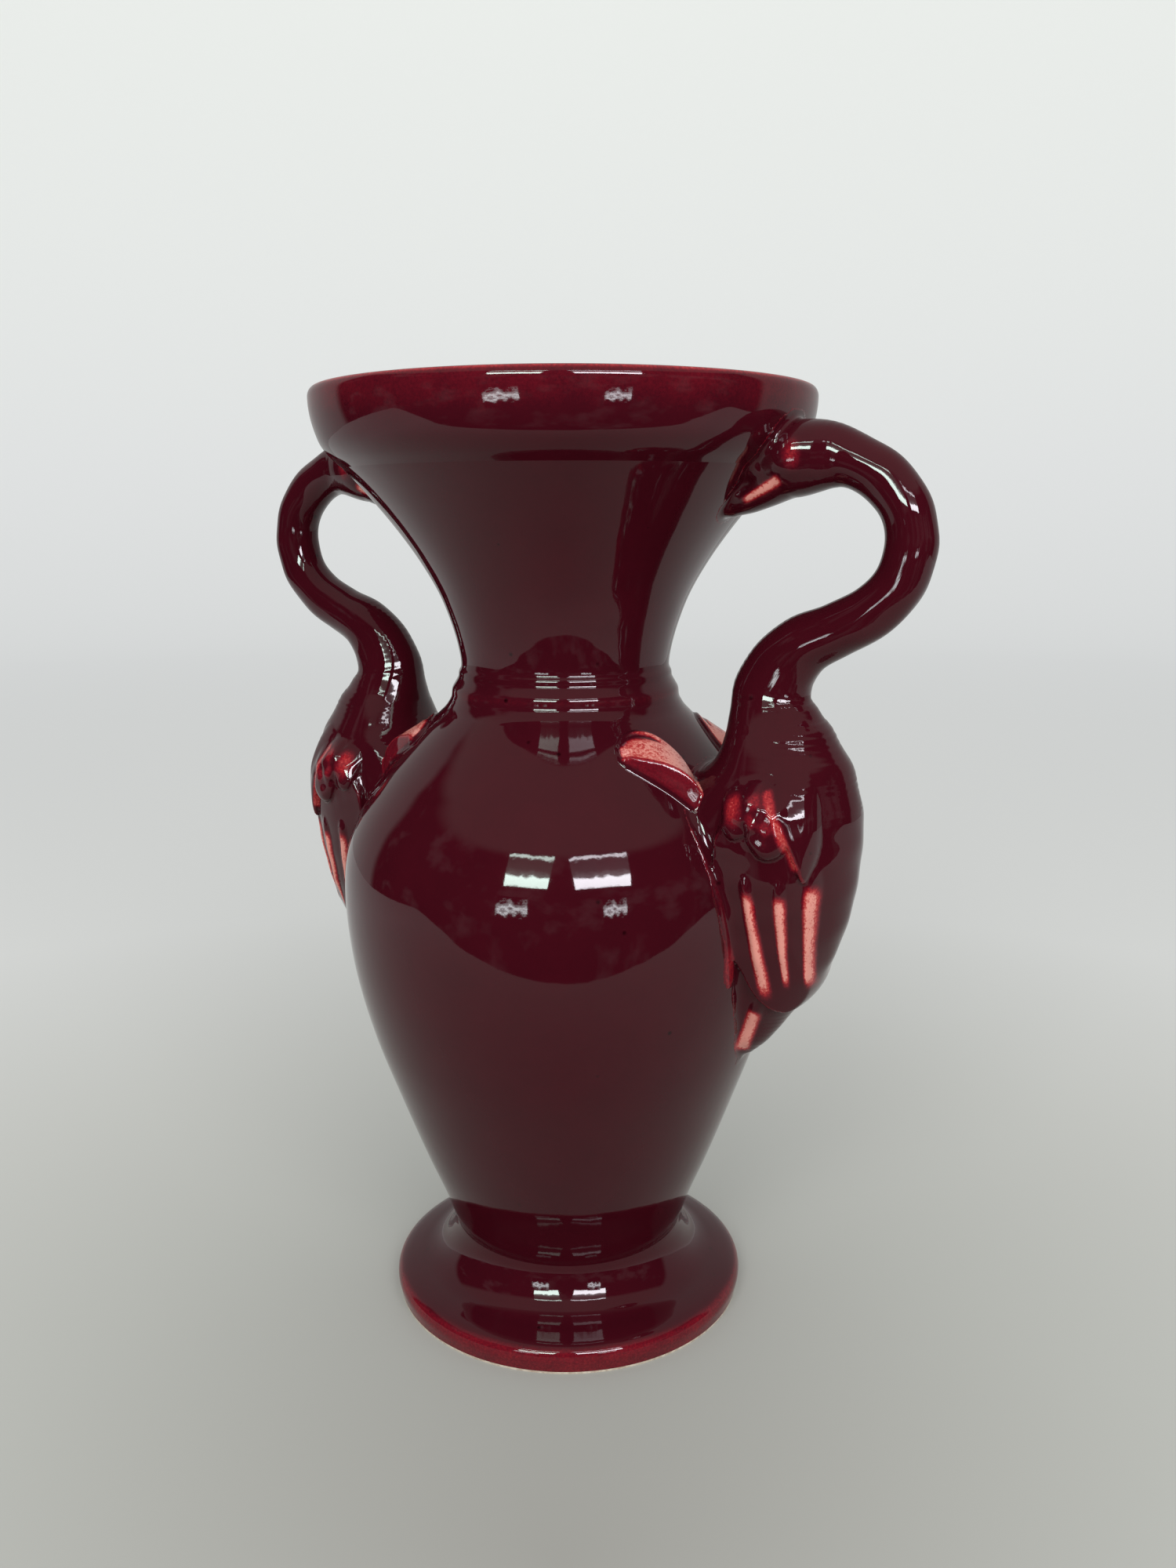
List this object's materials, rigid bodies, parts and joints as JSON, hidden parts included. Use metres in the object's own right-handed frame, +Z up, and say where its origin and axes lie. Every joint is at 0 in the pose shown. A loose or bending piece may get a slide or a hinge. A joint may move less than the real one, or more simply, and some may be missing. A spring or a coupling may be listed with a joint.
{
  "type": "two-handled baluster vase",
  "caption": "Footed baluster vase of glazed earthenware with a flaring neck, upright rim band and swan-shaped side handles.",
  "frame": {"origin": "middle of the foot ring's underside, on the surface that the vase stands on", "axes": "+Z up along the vase's axis, +X towards one swan and -X towards the other"},
  "size_m": [0.2108, 0.1384, 0.266],
  "materials": {
    "glaze_body": "deep oxblood gloss glaze on earthenware, brighter red where it runs thin on an edge",
    "glaze_foot": "deep oxblood gloss glaze, with bare pale clay on the ring that it stands on",
    "glaze_swan": "deep oxblood gloss glaze, thin and pink on the beak and tail",
    "glaze_feather": "deep oxblood gloss glaze that breaks to salmon pink on the feather ridges"
  },
  "bodies": {
    "root": {"foot": "glaze_foot", "body": "glaze_body", "neck": "glaze_body", "rim": "glaze_body", "right_swan_body": "glaze_swan", "right_swan_neck": "glaze_swan", "right_wing_front": "glaze_feather", "right_wing_back": "glaze_feather", "right_wing_tip_front": "glaze_feather", "right_wing_tip_back": "glaze_feather", "left_swan_body": "glaze_swan", "left_swan_neck": "glaze_swan", "left_wing_front": "glaze_feather", "left_wing_back": "glaze_feather", "left_wing_tip_front": "glaze_feather", "left_wing_tip_back": "glaze_feather"}
  },
  "joints": []
}
